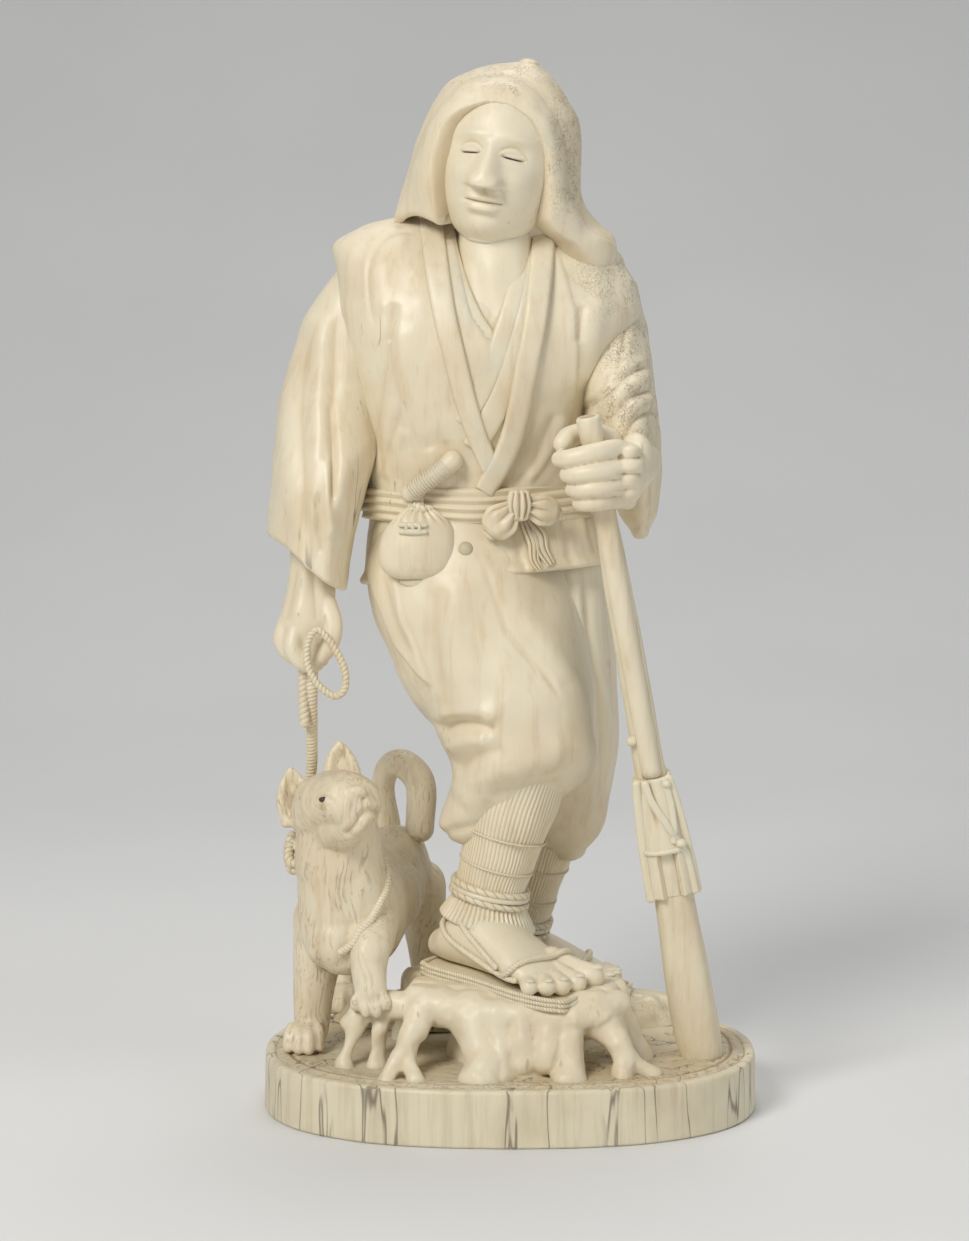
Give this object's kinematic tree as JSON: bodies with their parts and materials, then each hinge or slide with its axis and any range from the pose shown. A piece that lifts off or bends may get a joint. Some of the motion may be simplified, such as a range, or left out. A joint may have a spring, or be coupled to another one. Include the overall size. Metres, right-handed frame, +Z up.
{
  "type": "okimono figure carving",
  "caption": "Carved ivory figure of a hooded hunter leaning on a matchlock with his dog on a lead, standing on a pierced rock and an oval plinth.",
  "frame": {"origin": "middle of the plinth's underside", "axes": "+Z up, +X to the viewer's right as the figure faces the viewer, +Y to the back"},
  "size_m": [0.1331, 0.1, 0.279],
  "materials": {
    "ivory": "polished warm ivory with fine grain and stained hairline cracks",
    "base_ivory": "polished ivory, drier and more cracked, stained in the stippling",
    "eye_inlay": "dark polished inlay"
  },
  "bodies": {
    "root": {"plinth": "base_ivory", "ground_slab": "base_ivory", "rear_mound": "base_ivory", "pierced_rock": "base_ivory", "right_foot": "ivory", "left_foot": "ivory", "right_sandal": "ivory", "left_sandal": "ivory", "right_sandal_straps": "ivory", "left_sandal_straps": "ivory", "gun_barrel": "ivory", "gun_stock": "ivory", "lock_cover": "ivory", "cover_ties": "ivory", "stock_stud": "ivory", "head": "ivory", "eye_inlays": "eye_inlay", "vest_body": "ivory", "jacket_skirt": "ivory", "sash": "ivory", "collar": "ivory", "lapels": "ivory", "hood": "ivory", "right_trouser_leg": "ivory", "left_trouser_leg": "ivory", "seat_pelt": "ivory", "right_gaiter": "ivory", "left_gaiter": "ivory", "right_gaiter_ties": "ivory", "left_gaiter_ties": "ivory", "right_sleeve": "ivory", "left_sleeve": "ivory", "right_hand": "ivory", "left_hand": "ivory", "sash_bow": "ivory", "sash_tails": "ivory", "pouch": "ivory", "pouch_clasp": "ivory", "pouch_cord": "ivory", "knife_grip": "ivory", "jacket_plug": "ivory", "dog_body": "ivory", "dog_head": "ivory", "dog_eyes": "eye_inlay", "dog_tail": "ivory", "dog_harness": "ivory", "lead_knot": "ivory", "lead": "ivory", "lead_tail": "ivory", "lead_loop": "ivory", "neck_peg": "ivory", "waist_peg": "ivory", "hip_pegs": "ivory", "shoulder_pegs": "ivory", "wrist_pegs": "ivory", "shin_pegs": "ivory", "ankle_pegs": "ivory", "sole_pegs": "ivory", "dog_pegs": "ivory", "ground_pegs": "ivory"}
  },
  "joints": []
}
